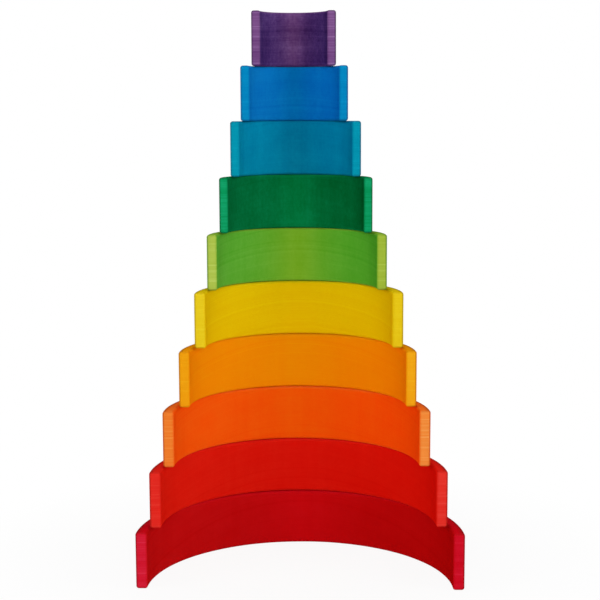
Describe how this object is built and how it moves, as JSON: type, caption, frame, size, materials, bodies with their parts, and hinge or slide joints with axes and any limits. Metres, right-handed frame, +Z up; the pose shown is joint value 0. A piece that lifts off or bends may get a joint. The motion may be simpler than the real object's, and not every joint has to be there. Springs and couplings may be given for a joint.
{
  "type": "rainbow stacker",
  "caption": "Tapering tower of loose half-round wooden arches in rainbow stains, laid flat and piled from the largest to the smallest; each lifts off the one below.",
  "frame": {"origin": "middle of the stack's footprint on the table", "axes": "+Z up the stack, +Y from the open feet towards the crowns at the back, +X to the right for someone who looks into the hollows"},
  "size_m": [0.3679, 0.2273, 0.65],
  "materials": {
    "crimson_stain": "satin stain over open grain",
    "red_stain": "satin stain over open grain",
    "orange_stain": "satin stain over open grain",
    "amber_stain": "satin stain over open grain",
    "yellow_stain": "satin stain over open grain",
    "lime_stain": "satin stain over open grain",
    "green_stain": "satin stain over open grain",
    "teal_stain": "satin stain over open grain",
    "blue_stain": "satin stain over open grain",
    "purple_stain": "satin stain over open grain"
  },
  "bodies": {
    "crimson_arch": {"crimson_arch": "crimson_stain"},
    "red_arch": {"red_arch": "red_stain"},
    "orange_arch": {"orange_arch": "orange_stain"},
    "amber_arch": {"amber_arch": "amber_stain"},
    "yellow_arch": {"yellow_arch": "yellow_stain"},
    "lime_arch": {"lime_arch": "lime_stain"},
    "green_arch": {"green_arch": "green_stain"},
    "teal_arch": {"teal_arch": "teal_stain"},
    "blue_arch": {"blue_arch": "blue_stain"},
    "purple_arch": {"purple_arch": "purple_stain"}
  },
  "joints": [
    {"name": "red_lift", "type": "slide", "parent": "crimson_arch", "child": "red_arch", "axis": [0, 0, 1], "range_m": [0, 0.08]},
    {"name": "orange_lift", "type": "slide", "parent": "red_arch", "child": "orange_arch", "axis": [0, 0, 1], "range_m": [0, 0.08]},
    {"name": "amber_lift", "type": "slide", "parent": "orange_arch", "child": "amber_arch", "axis": [0, 0, 1], "range_m": [0, 0.08]},
    {"name": "yellow_lift", "type": "slide", "parent": "amber_arch", "child": "yellow_arch", "axis": [0, 0, 1], "range_m": [0, 0.08]},
    {"name": "lime_lift", "type": "slide", "parent": "yellow_arch", "child": "lime_arch", "axis": [0, 0, 1], "range_m": [0, 0.08]},
    {"name": "green_lift", "type": "slide", "parent": "lime_arch", "child": "green_arch", "axis": [0, 0, 1], "range_m": [0, 0.08]},
    {"name": "teal_lift", "type": "slide", "parent": "green_arch", "child": "teal_arch", "axis": [0, 0, 1], "range_m": [0, 0.08]},
    {"name": "blue_lift", "type": "slide", "parent": "teal_arch", "child": "blue_arch", "axis": [0, 0, 1], "range_m": [0, 0.08]},
    {"name": "purple_lift", "type": "slide", "parent": "blue_arch", "child": "purple_arch", "axis": [0, 0, 1], "range_m": [0, 0.08]}
  ]
}
